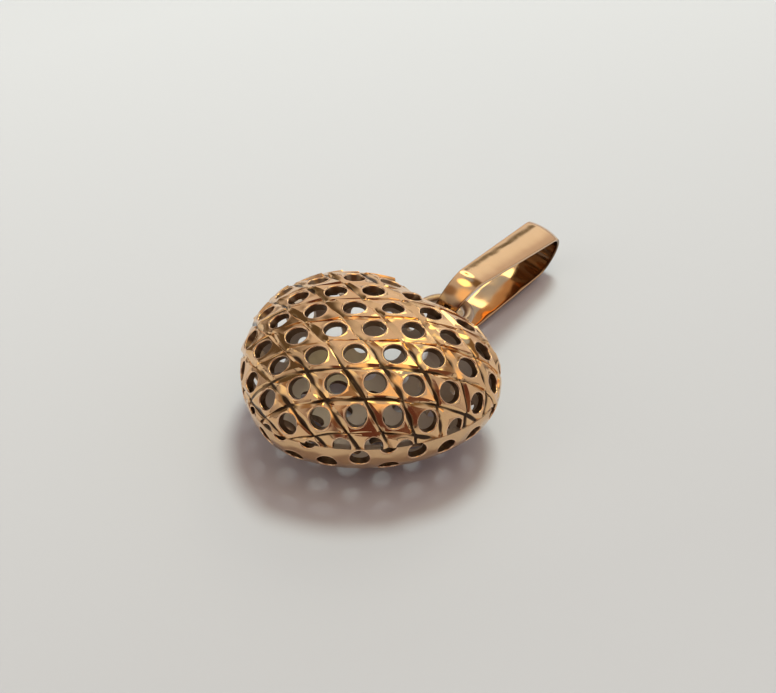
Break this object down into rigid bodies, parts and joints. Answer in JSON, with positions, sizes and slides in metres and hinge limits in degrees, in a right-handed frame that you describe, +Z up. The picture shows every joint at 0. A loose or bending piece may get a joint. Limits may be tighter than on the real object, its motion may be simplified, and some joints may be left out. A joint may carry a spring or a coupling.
{
  "type": "pendant",
  "caption": "Puffed heart pendant, pierced with rows of round holes and diamond cut on its front, with a fixed ring and a long swinging bail for a chain.",
  "frame": {"origin": "middle of the bounding box in plan, on the surface the pendant lies on", "axes": "+Z up from the surface, out of the heart's front; +Y from the heart's tip to the bail; +X across the lobes"},
  "size_m": [0.015, 0.0268, 0.0076],
  "materials": {
    "front_shell": "polished rose gold with diamond-cut grooves",
    "back_shell": "polished rose gold",
    "hanging_ring": "polished rose gold",
    "bail": "polished rose gold"
  },
  "bodies": {
    "heart": {"front_shell": "front_shell", "back_shell": "back_shell", "hanging_ring": "hanging_ring"},
    "bail": {"bail": "bail"}
  },
  "joints": [
    {"name": "bail_swing", "type": "hinge", "parent": "heart", "child": "bail", "pos_m": [-0.00025, 0.0023, 0.0038], "axis": [1, 0, 0], "range_deg": [-30, 130]}
  ]
}
